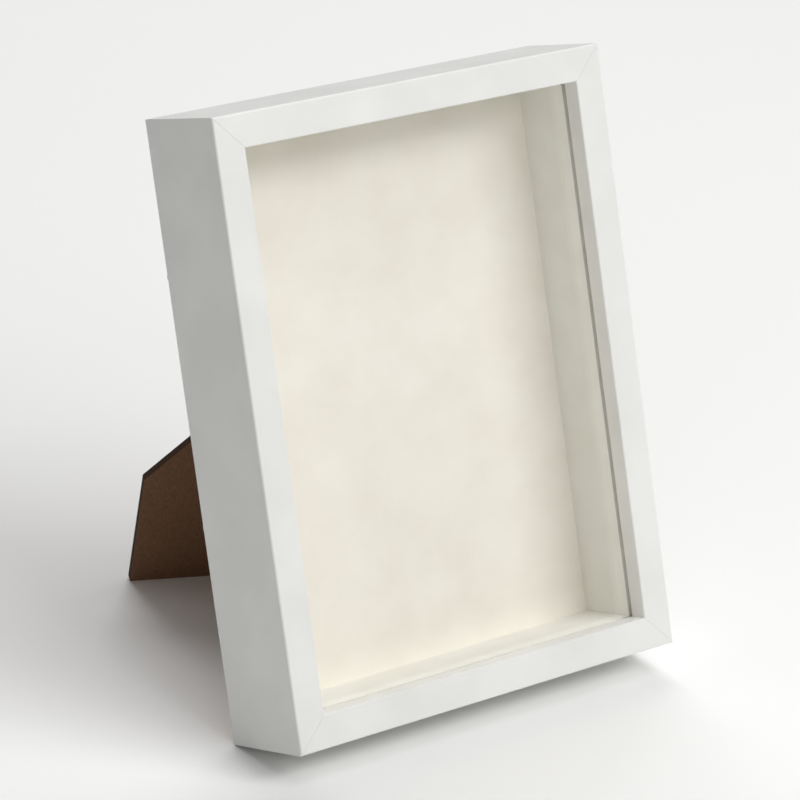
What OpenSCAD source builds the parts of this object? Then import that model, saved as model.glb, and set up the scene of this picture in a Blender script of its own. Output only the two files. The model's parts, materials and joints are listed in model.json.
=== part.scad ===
// Deep picture box with a glass front, standing in portrait on a two-way strut.
// Everything is drawn upright first: x runs from the left edge, y from the front
// face to the rear, z from the bottom edge. stand() then leans it back on its strut.

/* [Box] */
// Outer width across the front
box_w = 170; // [150:1:260]
// Outer height
box_h = 220; // [180:1:330]
// Outer depth, front face to rear face
box_d = 40; // [30:1:60]
// Angle that the box leans back from upright
lean = 18; // [14:0.5:22]

/* [Rails] */
// Width of the rails on the front face
rail_face = 12; // [11:0.5:20]
// Thickness of the rail wall behind the lip
rail_wall = 8; // [7:0.5:10]
// Thickness of the lip in front of the glass
lip_t = 7; // [3:0.5:8]
// Radius of the outer front edge
edge_r = 0.8; // [0.4:0.1:2.5]
// Radius of the other rail edges
small_r = 0.6; // [0.2:0.1:1]
// Arm length of the V-nails across each mitre
nail_arm = 4; // [2.5:0.5:4.5]
// Depth to which the V-nails are driven
nail_depth = 9; // [5:1:12]
// Thickness of the V-nail steel
nail_t = 0.5; // [0.3:0.1:0.8]
// How far the V-nails are sunk below the rear face
nail_sink = 0.3; // [0.1:0.1:1]

/* [Glass and lining] */
// Thickness of the glass
glass_t = 2; // [1.5:0.1:3]
// Gap left between the glass and the spacers behind it
glass_play = 0.6; // [0:0.1:1]
// Gap left around the glass, the boards and the back panel
sheet_gap = 0.5; // [0.2:0.1:0.8]
// Gap between the spacers and the rail wall
spacer_gap = 0.2; // [0.1:0.05:0.5]
// Thickness of the card behind the display space
card_t = 1.4; // [0.8:0.1:2.5]
// Thickness of the filler board behind the card
filler_t = 1.9; // [1:0.1:3]
// Thickness of the back panel
panel_t = 3; // [2:0.5:4]
// How far the back panel lies below the rear face of the rails
panel_sink = 0.2; // [0:0.1:0.5]

/* [Strut] */
// Slope of the hinge line across the back panel
hinge_slope = 32; // [25:1:40]
// Angle between the open strut and the back panel
strut_open = 42; // [34:1:48]
// Hinge centre from the left edge, as a share of the width
hinge_across = 0.725; // [0.65:0.005:0.75]
// Hinge centre from the bottom edge, as a share of the height
hinge_up = 0.675; // [0.6:0.005:0.7]
// Thickness of the strut board
strut_t = 3; // [2:0.5:4]
// Width of the strut at the hinge
strut_top_w = 27; // [22:1:34]
// Angle by which each side of the strut spreads towards the foot
strut_flare = 9.4; // [5:0.2:11]
// How far the tip of the foot lies to the left of the strut's middle
tip_left = 8.8; // [4:0.2:14]
// Gap between the folded strut and the back panel
fold_gap = 0.6; // [0.4:0.1:1.5]

/* [Hinge] */
// Thickness of the hinge steel
leaf_t = 0.8; // [0.5:0.1:1]
// Outer radius of the knuckles
knuckle_r = 2.1; // [1.8:0.1:2.6]
// Radius of the hinge pin
pin_r = 1.2; // [0.9:0.05:1.3]
// Radial clearance of the turning knuckle on the pin
pin_fit = 0.05; // [0.02:0.01:0.1]
// Gap between neighbouring knuckles
knuckle_gap = 0.3; // [0.2:0.05:0.5]
// Length of each leaf from the hinge line
leaf_len = 15; // [13:0.5:20]
// Gap between the stop tab and the fixed leaf when the strut is open
stop_gap = 0.08; // [0.05:0.01:0.2]

/* [Turn buttons] */
// How far each tongue laps over the back panel
button_lap = 4; // [2.5:0.5:6]
// Radius of the button around its screw
button_r = 3.2; // [2.8:0.1:3.3]
// Radius of the button's tongue end
button_tip_r = 2.2; // [1.5:0.1:2.8]
// Thickness of the button
button_t = 1; // [0.8:0.1:1.5]
// Gap under the button and under its screw head
button_gap = 0.1; // [0.05:0.05:0.2]
// Radius of the screw shank
screw_r = 1.3; // [1:0.1:1.6]
// Radial clearance of the button on its screw
screw_fit = 0.06; // [0.02:0.01:0.1]
// Depth of the screw in the rail
screw_len = 9; // [6:0.5:14]

/* [Hangers] */
// Radius of the ring's bow
ring_r = 6; // [5.6:0.1:8]
// Radius of the ring's wire
wire_r = 0.8; // [0.6:0.05:1]
// Radial clearance of the ring in its rolled loop
ring_fit = 0.1; // [0.05:0.05:0.1]
// Width of the strap
strap_w = 8; // [6:0.5:9]
// Thickness of the strap
strap_t = 0.7; // [0.5:0.1:1]
// Length of the strap below its loop
strap_len = 14; // [13:0.5:18]

/* [Rivets] */
// Radius of the rivet shanks
rivet_r = 1.2; // [0.8:0.1:1.5]
// Radius of the rivet heads
rivet_head_r = 2.2; // [1.8:0.1:2.6]
// Height of the rivet heads
rivet_head_h = 0.9; // [0.5:0.1:1.2]

/* [Hidden] */
$fn = 48;
over = 1;
glass_y = lip_t;
spacer_y = glass_y + glass_t + glass_play;
panel_rear = box_d - panel_sink;
panel_y = panel_rear - panel_t;
filler_y = panel_y - filler_t;
card_y = filler_y - card_t;
sheet_edge = rail_wall + sheet_gap;
spacer_edge = rail_wall + spacer_gap;

// The strut's own frame: origin at the hinge's middle, x along the hinge line,
// y from the hinge to the foot, z out from the board's outer face.
hinge_x = box_w * hinge_across;
hinge_z = box_h * hinge_up;
hinge_y = panel_rear + knuckle_r + 0.2;
board_in = fold_gap - (hinge_y - panel_rear);
board_out = board_in + strut_t;
board_top = knuckle_r + 0.9;
flare = tan(strut_flare);
half_top = strut_top_w / 2;

// The strut meets the table where its height above the table is nought.
rise_u = -sin(hinge_slope) * cos(lean);
rise_v = -cos(strut_open) * cos(hinge_slope) * cos(lean) - sin(strut_open) * sin(lean);
rise_n = sin(strut_open) * cos(hinge_slope) * cos(lean) - cos(strut_open) * sin(lean);
rise_0 = hinge_z * cos(lean) - (hinge_y - box_d) * sin(lean) + board_in * rise_n;
foot_slope = -rise_u / rise_v;
function foot_v(u) = -(rise_0 + rise_u * u) / rise_v;
tip = [-tip_left, foot_v(-tip_left)];
// Where a line from the tip meets a spreading side, the side being at
// side * (half_top + flare * v) from the middle.
function corner(side, slope) =
    let (du = (side * (half_top + flare * tip[1]) - tip[0]) / (1 - side * flare * slope))
    [tip[0] + du, tip[1] + slope * du];
foot_right = corner(1, foot_slope);
foot_left = corner(-1, -1 / foot_slope);

// Distance from the rear bottom edge back to the tip, and the shift that
// centres the standing box and its strut on the origin.
tip_back = (hinge_y - box_d) * cos(lean) + hinge_z * sin(lean)
    - tip[0] * sin(hinge_slope) * sin(lean)
    + tip[1] * (sin(strut_open) * cos(lean) - cos(strut_open) * cos(hinge_slope) * sin(lean))
    + board_out * (cos(strut_open) * cos(lean) + sin(strut_open) * cos(hinge_slope) * sin(lean));
stand_shift = (box_d * cos(lean) - tip_back) / 2;

knuckle_end = strut_top_w / 2;
knuckle_mid = strut_top_w / 6;
rivet_u = strut_top_w * 0.28;
leaf_rivet_v = leaf_len - 4.5;
tab_len = 7.2;
tab_half = knuckle_mid - 0.6;

button_y = box_d + button_gap;
head_y = button_y + button_t + button_gap;
head_r = 2.5;
head_h = 1.3;
screw_in = rail_wall / 2;
button_reach = sheet_edge - screw_in + button_lap - button_tip_r;
// Each turn button as [name, x, z, turn], where a turn of 0 points its tongue up.
buttons = [
    ["turn_button_top", box_w * 0.32, box_h - screw_in, 180],
    ["turn_button_bottom", box_w * 0.68, screw_in, 0],
    ["turn_button_left_upper", screw_in, box_h * 0.75, 90],
    ["turn_button_left_lower", screw_in, box_h * 0.35, 90],
    ["turn_button_right_upper", box_w - screw_in, box_h * 0.65, -90],
    ["turn_button_right_lower", box_w - screw_in, box_h * 0.25, -90],
];

loop_r = wire_r + ring_fit + strap_t;
ring_y = panel_rear + loop_r;
strap_rivet = strap_len - 3.8;
// Each hanger as [x, z, turn, swing]. A turn of 0 points the strap straight down, and
// the swing is how far its ring hangs out from the strap while the box stands.
top_hanger = [box_w / 2, box_h - 15, 0, lean];
side_hanger = [box_w - 15, box_h / 2, 90, 90];

// Leans the upright box back until its rear bottom edge and its strut stand level.
module stand() {
    translate([0, stand_shift, 0]) rotate([-lean, 0, 0])
        translate([-box_w / 2, -box_d, 0]) children();
}

// Turns a shape drawn in x and z, as seen from the front, into a sheet from y0 to y1.
module sheet(y0, y1) {
    translate([0, y1, 0]) rotate([90, 0, 0]) linear_extrude(y1 - y0) children();
}

// Puts a shape drawn around z onto a spot of the rear, with z pointing backwards.
module rear_at(x, y, z, turn = 0) {
    translate([x, y, z]) rotate([0, turn, 0]) rotate([-90, 0, 0]) children();
}

// Places the strut's own frame, opened by the given angle.
module hinge_frame(open) {
    translate([hinge_x, hinge_y, hinge_z]) rotate([0, hinge_slope, 0])
        rotate([open - 90, 0, 0]) children();
}

// Cuts the quarter round out of a square corner, which points to -x and -y.
module corner_cut(r) {
    difference() {
        translate([-over, -over]) square(r + over);
        translate([r, r]) circle(r);
    }
}

// Section of a rail: x inwards from the outer edge, y from front to rear.
module rail_section() {
    difference() {
        union() {
            square([rail_face, lip_t]);
            square([rail_wall, box_d]);
        }
        corner_cut(edge_r);
        translate([rail_face, 0]) mirror([1, 0]) corner_cut(small_r);
        translate([0, box_d]) mirror([0, 1]) corner_cut(small_r);
    }
}

// One mitred rail of the given length, lying along x with its outer edge at z = 0.
module rail(length) {
    intersection() {
        rotate([90, 0, 90]) linear_extrude(length)
            rotate(90) mirror([0, 1]) rail_section();
        sheet(-over, box_d + over) polygon([
            [0, 0], [length, 0],
            [length - rail_face - over, rail_face + over], [rail_face + over, rail_face + over],
        ]);
    }
}

// The four V-nails, one across each mitre, driven in from the rear.
module v_nails() {
    middle = rail_wall / 2;
    for (sx = [0, 1], sz = [0, 1])
        translate([sx * box_w, 0, sz * box_h]) mirror([sx, 0, 0]) mirror([0, 0, sz])
            sheet(box_d - nail_depth, box_d - nail_sink) translate([middle, middle]) difference() {
                translate([-nail_arm / 2, -nail_arm / 2]) square(nail_arm);
                translate([nail_t - nail_arm / 2, nail_t - nail_arm / 2]) square(nail_arm);
            }
}

// The shanks of the turn-button screws in the rails.
module screw_shanks() {
    for (b = buttons) rear_at(b[1], box_d - screw_len, b[2])
        cylinder(r = screw_r, h = screw_len + button_gap * 2 + button_t);
}

// What is cut from the rails: the V-nails' slots, open at the rear, and the screw holes.
module rail_holes() {
    v_nails();
    translate([0, nail_sink, 0]) v_nails();
    screw_shanks();
}

module rail_top() {
    color("#ebebe8") stand() difference() {
        translate([0, 0, box_h]) mirror([0, 0, 1]) rail(box_w);
        rail_holes();
    }
}

module rail_bottom() {
    color("#dfdfdd") stand() difference() {
        rail(box_w);
        rail_holes();
    }
}

module rail_left() {
    color("#e4e4e1") stand() difference() {
        mirror([1, 0, 0]) rotate([0, -90, 0]) rail(box_h);
        rail_holes();
    }
}

module rail_right() {
    color("#e4e4e1") stand() difference() {
        translate([box_w, 0, 0]) rotate([0, -90, 0]) rail(box_h);
        rail_holes();
    }
}

module corner_v_nails() {
    color("#8f9295") stand() v_nails();
}

// A sheet that fills the rebate from y0 to y1.
module rebate_sheet(y0, y1) {
    sheet(y0, y1) translate([sheet_edge, sheet_edge])
        square([box_w - 2 * sheet_edge, box_h - 2 * sheet_edge]);
}

module glass_pane() {
    color("#dfe9e6", 0.3) stand() rebate_sheet(glass_y, glass_y + glass_t);
}

module spacer_strip(x0, x1, z0, z1) {
    color("#d8d5cd") stand() translate([x0, spacer_y, z0])
        cube([x1 - x0, card_y - spacer_y, z1 - z0]);
}

module spacer_top() {
    spacer_strip(spacer_edge, box_w - spacer_edge, box_h - rail_face, box_h - spacer_edge);
}

module spacer_bottom() {
    spacer_strip(spacer_edge, box_w - spacer_edge, spacer_edge, rail_face);
}

module spacer_left() {
    spacer_strip(spacer_edge, rail_face, rail_face, box_h - rail_face);
}

module spacer_right() {
    spacer_strip(box_w - rail_face, box_w - spacer_edge, rail_face, box_h - rail_face);
}

module backing_card() {
    color("#e9e2d3") stand() rebate_sheet(card_y, filler_y);
}

module filler_board() {
    color("#b9a17c") stand() rebate_sheet(filler_y, panel_y);
}

// The rivets of the fixed leaf, from the panel's front face to the head's underside.
module fixed_rivet_places() {
    for (side = [-1, 1]) hinge_frame(0)
        translate([side * rivet_u, -leaf_rivet_v, panel_y - hinge_y]) children();
}

// The places of the hanger rivets, in the same way.
module hanger_rivet_places() {
    for (h = [top_hanger, side_hanger])
        hanger_frame(h) translate([0, strap_rivet, panel_y - ring_y]) children();
}

module back_panel() {
    color("#40301f") stand() difference() {
        rebate_sheet(panel_y, panel_rear);
        fixed_rivet_places() cylinder(r = rivet_r, h = panel_t + over);
        hanger_rivet_places() cylinder(r = rivet_r, h = panel_t + over);
    }
}

// A rivet whose shank ends flush below and whose domed head sits at height h.
module rivet(h) {
    dome_r = (pow(rivet_head_r, 2) + pow(rivet_head_h, 2)) / (2 * rivet_head_h);
    cylinder(r = rivet_r, h = h);
    translate([0, 0, h]) intersection() {
        translate([0, 0, rivet_head_h - dome_r]) sphere(dome_r);
        cylinder(r = rivet_head_r + over, h = rivet_head_h + over);
    }
}

// A knuckle from u0 to u1 on the hinge line.
module knuckle(u0, u1) {
    translate([u0, 0, 0]) rotate([0, 90, 0]) cylinder(r = knuckle_r, h = u1 - u0);
}

module pin_hole(r) {
    translate([-knuckle_end - over, 0, 0]) rotate([0, 90, 0])
        cylinder(r = r, h = 2 * (knuckle_end + over));
}

module hinge_fixed_leaf() {
    floor_n = panel_rear - hinge_y;
    slot_half = knuckle_mid + knuckle_gap;
    color("#b4b6b8") stand() hinge_frame(0) difference() {
        union() {
            translate([-knuckle_end, -leaf_len, floor_n]) cube([2 * knuckle_end, leaf_len, leaf_t]);
            knuckle(-knuckle_end, -slot_half);
            knuckle(slot_half, knuckle_end);
        }
        translate([-slot_half, -knuckle_r - knuckle_gap, floor_n - over])
            cube([2 * slot_half, 2 * knuckle_r + 2, leaf_t + 2 * over]);
        pin_hole(pin_r);
        for (side = [-1, 1]) translate([side * rivet_u, -leaf_rivet_v, floor_n - over])
            cylinder(r = rivet_r, h = leaf_t + 2 * over);
    }
}

module hinge_pin() {
    color("#9a9da0") stand() hinge_frame(0) translate([-knuckle_end, 0, 0])
        rotate([0, 90, 0]) cylinder(r = pin_r, h = 2 * knuckle_end);
}

module hinge_fixed_rivets() {
    color("#c6c8ca") stand() fixed_rivet_places() rivet(panel_t + leaf_t);
}

// The turning leaf: a plate on the strut, the middle knuckle and a stop tab
// that meets the fixed leaf when the strut is fully open.
module hinge_strut_leaf() {
    tab_n = panel_rear - hinge_y + leaf_t + stop_gap;
    color("#b4b6b8") stand() difference() {
        union() {
            hinge_frame(strut_open) {
                knuckle(-knuckle_mid, knuckle_mid);
                translate([-knuckle_mid, 0, board_out]) cube([2 * knuckle_mid, board_top + over, leaf_t]);
                translate([-knuckle_end + 2, board_top, board_out])
                    cube([2 * knuckle_end - 4, leaf_len - board_top, leaf_t]);
            }
            hinge_frame(0) translate([-tab_half, -tab_len, tab_n]) cube([2 * tab_half, tab_len, leaf_t]);
        }
        hinge_frame(strut_open) {
            pin_hole(pin_r + pin_fit);
            for (side = [-1, 1]) translate([side * rivet_u, leaf_rivet_v, board_out - over])
                cylinder(r = rivet_r, h = leaf_t + 2 * over);
        }
    }
}

module hinge_strut_rivets() {
    color("#c6c8ca") stand() hinge_frame(strut_open)
        for (side = [-1, 1]) translate([side * rivet_u, leaf_rivet_v, board_in])
            rivet(strut_t + leaf_t);
}

module strut_leg() {
    top_u = half_top + flare * board_top;
    color("#402d21") stand() hinge_frame(strut_open) difference() {
        translate([0, 0, board_in]) linear_extrude(strut_t) polygon([
            [-top_u, board_top], [top_u, board_top], foot_right, tip, foot_left,
        ]);
        for (side = [-1, 1]) translate([side * rivet_u, leaf_rivet_v, board_in - over])
            cylinder(r = rivet_r, h = strut_t + 2 * over);
    }
}

// A turn button lying around its screw, with its tongue along +y.
module turn_button() {
    slant = asin((button_r - button_tip_r) / button_reach);
    linear_extrude(button_t) difference() {
        union() {
            circle(button_r);
            translate([0, button_reach]) circle(button_tip_r);
            polygon([
                [-button_r * cos(slant), button_r * sin(slant)],
                [button_r * cos(slant), button_r * sin(slant)],
                [button_tip_r * cos(slant), button_reach + button_tip_r * sin(slant)],
                [-button_tip_r * cos(slant), button_reach + button_tip_r * sin(slant)],
            ]);
        }
        circle(screw_r + screw_fit);
    }
}

module placed_button(name) {
    color("#c2c4c6") stand() for (b = buttons) if (b[0] == name)
        rear_at(b[1], button_y, b[2], b[3] + 180) turn_button();
}

module turn_button_top() { placed_button("turn_button_top"); }
module turn_button_bottom() { placed_button("turn_button_bottom"); }
module turn_button_left_upper() { placed_button("turn_button_left_upper"); }
module turn_button_left_lower() { placed_button("turn_button_left_lower"); }
module turn_button_right_upper() { placed_button("turn_button_right_upper"); }
module turn_button_right_lower() { placed_button("turn_button_right_lower"); }

module turn_button_screws() {
    color("#a9acae") stand() {
        screw_shanks();
        for (b = buttons) rear_at(b[1], head_y, b[2]) difference() {
            cylinder(r = head_r, h = head_h);
            for (turn = [0, 90]) rotate(turn) translate([-head_r * 0.6, -0.3, head_h - 0.7])
                cube([head_r * 1.2, 0.6, 0.7 + over]);
        }
    }
}

// A hanger's own frame: origin in its loop, y towards the strap's free end, z out.
module hanger_frame(place) {
    translate([place[0], ring_y, place[1]]) rotate([0, place[2], 0]) rotate([-90, 0, 0]) children();
}

module hanger_strap(place) {
    color("#b9bbbd") stand() hanger_frame(place) difference() {
        union() {
            translate([-strap_w / 2, 0, -loop_r]) cube([strap_w, strap_len, strap_t]);
            translate([-strap_w / 2, 0, 0]) rotate([0, 90, 0]) cylinder(r = loop_r, h = strap_w);
        }
        translate([-strap_w, 0, 0]) rotate([0, 90, 0])
            cylinder(r = wire_r + ring_fit, h = 2 * strap_w);
        translate([0, strap_rivet, -loop_r - over]) cylinder(r = rivet_r, h = strap_t + 2 * over);
    }
}

// A D-shaped ring: a straight bar through the loop and a round bow over the strap.
module hanger_ring(place) {
    color("#c9cbcc") stand() hanger_frame(place) rotate([place[3], 0, 0]) {
        rotate_extrude(angle = 180) translate([ring_r, 0]) circle(wire_r, $fn = 24);
        translate([-ring_r, 0, 0]) rotate([0, 90, 0]) cylinder(r = wire_r, h = 2 * ring_r, $fn = 24);
        for (side = [-1, 1]) translate([side * ring_r, 0, 0]) sphere(wire_r, $fn = 24);
    }
}

module hanger_strap_top() { hanger_strap(top_hanger); }
module hanger_strap_side() { hanger_strap(side_hanger); }
module hanger_ring_top() { hanger_ring(top_hanger); }
module hanger_ring_side() { hanger_ring(side_hanger); }

module hanger_rivets() {
    color("#c6c8ca") stand() hanger_rivet_places() rivet(panel_t + strap_t);
}

rail_top();
rail_bottom();
rail_left();
rail_right();
corner_v_nails();
glass_pane();
spacer_top();
spacer_bottom();
spacer_left();
spacer_right();
backing_card();
filler_board();
back_panel();
hinge_fixed_leaf();
hinge_pin();
hinge_fixed_rivets();
hinge_strut_leaf();
hinge_strut_rivets();
strut_leg();
turn_button_top();
turn_button_bottom();
turn_button_left_upper();
turn_button_left_lower();
turn_button_right_upper();
turn_button_right_lower();
turn_button_screws();
hanger_strap_top();
hanger_strap_side();
hanger_ring_top();
hanger_ring_side();
hanger_rivets();
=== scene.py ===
# The finished look of a white picture box that leans back on its brown strut.
#
# Each piece is made in millimetres on the upright box, as on a bench, and is then laid
# onto the leaning frame. On the upright box x runs from the left edge, y from the front
# face to the rear, and z from the bottom edge.
import json
from math import asin, atan2, cos, degrees, pi, radians, sin, tan

import bmesh
import bpy
from mathutils import Matrix, Vector


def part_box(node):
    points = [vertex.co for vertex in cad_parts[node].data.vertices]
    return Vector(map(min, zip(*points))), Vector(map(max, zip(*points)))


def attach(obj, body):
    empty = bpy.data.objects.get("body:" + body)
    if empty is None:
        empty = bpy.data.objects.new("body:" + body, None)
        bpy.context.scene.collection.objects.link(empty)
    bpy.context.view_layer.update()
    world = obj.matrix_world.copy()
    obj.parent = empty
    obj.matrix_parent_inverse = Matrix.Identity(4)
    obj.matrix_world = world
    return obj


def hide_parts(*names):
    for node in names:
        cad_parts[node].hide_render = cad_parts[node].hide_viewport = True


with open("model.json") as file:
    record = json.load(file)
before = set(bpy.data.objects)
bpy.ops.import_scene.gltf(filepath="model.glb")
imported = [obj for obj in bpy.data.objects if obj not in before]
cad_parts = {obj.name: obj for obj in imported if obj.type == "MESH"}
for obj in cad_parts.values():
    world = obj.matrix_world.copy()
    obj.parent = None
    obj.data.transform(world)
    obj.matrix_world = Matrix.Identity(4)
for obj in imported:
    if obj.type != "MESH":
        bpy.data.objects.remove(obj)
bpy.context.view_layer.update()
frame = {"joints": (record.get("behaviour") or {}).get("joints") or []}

MM = 0.001

# The box and its rails. LIP is the thickness of the wood in front of the glass, and each
# mitre is eased by MITRE_GROOVE on either side.
BOX_W, BOX_H, BOX_D = 170.0, 220.0, 40.0
RAIL_FACE, RAIL_WALL, LIP = 12.0, 8.0, 7.0
MITRE_GROOVE = 0.08
NAIL_ARM, NAIL_T, NAIL_DEPTH, NAIL_SINK = 4.0, 0.5, 9.0, 0.3

# How far edges are rounded: the film round the front edge and round the others, then
# raw board, and the arrises of each other material
EDGE_R, SMALL_R = 0.8, 0.6
EASE, STRUT_EASE, STRIP_EASE, CARD_EASE, GLASS_EASE = 0.25, 0.22, 0.35, 0.12, 0.15
STEEL_EASE, BUTTON_EASE, ROLL_EASE, NAIL_EASE = 0.12, 0.18, 0.1, 0.06
BOARD_CORNER, PANEL_CORNER, STRIP_CORNER = 0.4, 1.0, 0.2

# The sheets, from the glass back to the panel, with the play around and behind them
SHEET_GAP, SPACER_GAP = 0.5, 0.2
GLASS_T, GLASS_PLAY, CARD_T, FILLER_T, PANEL_T = 2.0, 0.6, 1.4, 1.9, 3.0
PANEL_REAR = BOX_D - 0.2
PANEL_Y = PANEL_REAR - PANEL_T
FILLER_Y = PANEL_Y - FILLER_T
CARD_Y = FILLER_Y - CARD_T
SPACER_Y = LIP + GLASS_T + GLASS_PLAY
SHEET_EDGE = RAIL_WALL + SHEET_GAP
SPACER_EDGE = RAIL_WALL + SPACER_GAP

# The strut and its hinge. The hinge line slopes by HINGE_SLOPE, and the strut stands
# open by STRUT_OPEN and widens by STRUT_FLARE on each side (degrees). The tip of its
# foot is TIP_LEFT off its middle line.
HINGE_SLOPE, STRUT_OPEN, STRUT_FLARE = 32.0, 42.0, 9.4
KNUCKLE_R, PIN_R, PIN_FIT, KNUCKLE_GAP = 2.1, 1.2, 0.05, 0.3
LEAF_T, LEAF_LEN, LEAF_CORNER, HINGE_W = 0.8, 15.0, 2.4, 27.0
STOP_GAP, TAB_LEN, TAB_CORNER = 0.08, 7.2, 1.2
FOLD_GAP, STRUT_T, TIP_LEFT = 0.6, 3.0, 8.8
HINGE = Vector((BOX_W * 0.725, PANEL_REAR + KNUCKLE_R + 0.2, BOX_H * 0.675))
KNUCKLE_MID = HINGE_W / 6
RIVET_U = HINGE_W * 0.28
RIVET_V = LEAF_LEN - 4.5

# Heights over the hinge line, out of the back: the fixed leaf lies on the panel, and
# the strut board, once folded, clears the panel by FOLD_GAP
LEAF_FLOOR = PANEL_REAR - HINGE.y
BOARD_IN = FOLD_GAP + LEAF_FLOOR
BOARD_OUT = BOARD_IN + STRUT_T
BOARD_TOP = KNUCKLE_R + 0.9

# The turn buttons and their screws
BUTTON_R, BUTTON_TIP_R, BUTTON_T, BUTTON_GAP = 3.2, 2.2, 1.0, 0.1
SCREW_R, SCREW_FIT, SCREW_LEN, HEAD_R, HEAD_H = 1.3, 0.06, 9.0, 2.5, 1.3
BUTTON_REACH = SHEET_EDGE - RAIL_WALL / 2 + 4.0 - BUTTON_TIP_R
HEAD_FLOOR = BOX_D + BUTTON_GAP * 2 + BUTTON_T

# The hangers: a D-ring of wire in a rolled strap, with one rivet
RING_R, RING_BEND, WIRE_R, RING_FIT = 6.0, 1.3, 0.8, 0.1
STRAP_W, STRAP_T, STRAP_LEN, STRAP_CORNER = 8.0, 0.7, 14.0, 3.0
LOOP_R = WIRE_R + RING_FIT + STRAP_T
RING_Y = PANEL_REAR + LOOP_R
STRAP_RIVET = STRAP_LEN - 3.8
RIVET_R, RIVET_HEAD_R, RIVET_HEAD_H = 1.2, 2.2, 0.9

# Each turn button: its screw across and up the box, and how far its tongue is turned
BUTTONS = {
    "top": (BOX_W * 0.32, BOX_H - RAIL_WALL / 2, 180),
    "bottom": (BOX_W * 0.68, RAIL_WALL / 2, 0),
    "left_upper": (RAIL_WALL / 2, BOX_H * 0.75, 90),
    "left_lower": (RAIL_WALL / 2, BOX_H * 0.35, 90),
    "right_upper": (BOX_W - RAIL_WALL / 2, BOX_H * 0.65, -90),
    "right_lower": (BOX_W - RAIL_WALL / 2, BOX_H * 0.25, -90),
}

# Each hanger: its ring's bar across and up the box, the turn of the strap, and how far
# the ring is swung out from the panel as it hangs (degrees)
HANGERS = {
    "top": (BOX_W / 2, BOX_H - 15, 0, 18),
    "side": (BOX_W - 15, BOX_H / 2, 90, 90),
}


# ---------------------------------------------------------------- places

def joint(name):
    """A joint of the frame, by its name."""
    return next(j for j in frame["joints"] if j["name"] == name)


def lean_of_box():
    """How far the box leans back, from the axis that a turn button turns on."""
    _, back, up = joint("turn_button_top_pivot")["axis"]
    return -atan2(up, back)


def lay_upright_box():
    """From the upright box to the frame: leaning, and with the glass where it belongs."""
    lean = Matrix.Rotation(-LEAN, 4, "X") @ Matrix.Scale(MM, 4)
    low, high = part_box("glass_pane")
    pane_middle = Vector((BOX_W / 2, LIP + GLASS_T / 2, BOX_H / 2))
    return Matrix.Translation((low + high) / 2 - lean @ pane_middle) @ lean


LEAN = lean_of_box()
UPRIGHT = lay_upright_box()


def turned(angle, axis):
    """A turn in degrees."""
    return Matrix.Rotation(radians(angle), 4, axis)


def rear_place(x, y, z, turn=0):
    """A frame on the rear of the box, whose z points backwards and y down."""
    return Matrix.Translation((x, y, z)) @ turned(turn, "Y") @ turned(-90, "X")


FLAT = rear_place(0, 0, 0)


def hinge_place(opened):
    """The strut's frame: x along the hinge line, y to the foot, z out of the back."""
    return Matrix.Translation(HINGE) @ turned(HINGE_SLOPE, "Y") @ turned(opened - 90, "X")


# ---------------------------------------------------------------- outlines

def arc(x, y, radius, start, end, steps):
    """Points along an arc, by its angles in degrees."""
    angles = [radians(start + (end - start) * i / steps) for i in range(steps + 1)]
    return [(x + radius * cos(a), y + radius * sin(a)) for a in angles]


def circle(x, y, radius, steps=32):
    """A round outline."""
    return arc(x, y, radius, 0, 360, steps)[:-1]


def rounded(corners, radii, steps=5):
    """An outline whose corners are rounded to the given radii."""
    outline = []
    count = len(corners)
    for i, corner in enumerate(corners):
        here = Vector(corner)
        to_last = (Vector(corners[i - 1]) - here).normalized()
        to_next = (Vector(corners[(i + 1) % count]) - here).normalized()
        half = to_last.angle(to_next) / 2
        reach = radii[i] / tan(half)
        centre = here + (to_last + to_next).normalized() * (radii[i] / sin(half))
        first = here + to_last * reach - centre
        last = here + to_next * reach - centre
        for k in range(steps + 1):
            spoke = first.slerp(last, k / steps, first).normalized()
            outline.append(tuple(centre + spoke * radii[i]))
    return outline


def rectangle(x0, x1, y0, y1, radius):
    """A rectangle with rounded corners."""
    return rounded([(x0, y0), (x1, y0), (x1, y1), (x0, y1)], [radius] * 4)


def inset(outline, amount):
    """The outline, moved inwards all round."""
    moved = []
    for i, point in enumerate(outline):
        here = Vector(point)
        before = (here - Vector(outline[i - 1])).normalized()
        after = (Vector(outline[(i + 1) % len(outline)]) - here).normalized()
        side = Vector((-before.y - after.y, before.x + after.x)).normalized()
        moved.append(tuple(here + side * amount / max(side.dot((-before.y, before.x)), 0.5)))
    return moved


# ---------------------------------------------------------------- solids

# Faces that meet at more than SHARP have an edge to round, and a length under NOTHING
# is none
SHARP = radians(50)
NOTHING = 1e-6


def to_mesh(solid):
    """A finished mesh from a bmesh, with its normals outwards."""
    bmesh.ops.recalc_face_normals(solid, faces=solid.faces[:])
    mesh = bpy.data.meshes.new("solid")
    solid.to_mesh(mesh)
    solid.free()
    return mesh


def round_off(solid, edges, width):
    """Rounds the given edges to about that radius."""
    bmesh.ops.bevel(
        solid, geom=edges, offset=width, offset_type="OFFSET", segments=2,
        profile=0.5, affect="EDGES", clamp_overlap=True,
    )


def ease_edges(solid, width):
    """Rounds every edge where two faces meet sharply."""
    sharp = [e for e in solid.edges if e.is_manifold and e.calc_face_angle(0) > SHARP]
    round_off(solid, sharp, width)


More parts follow.
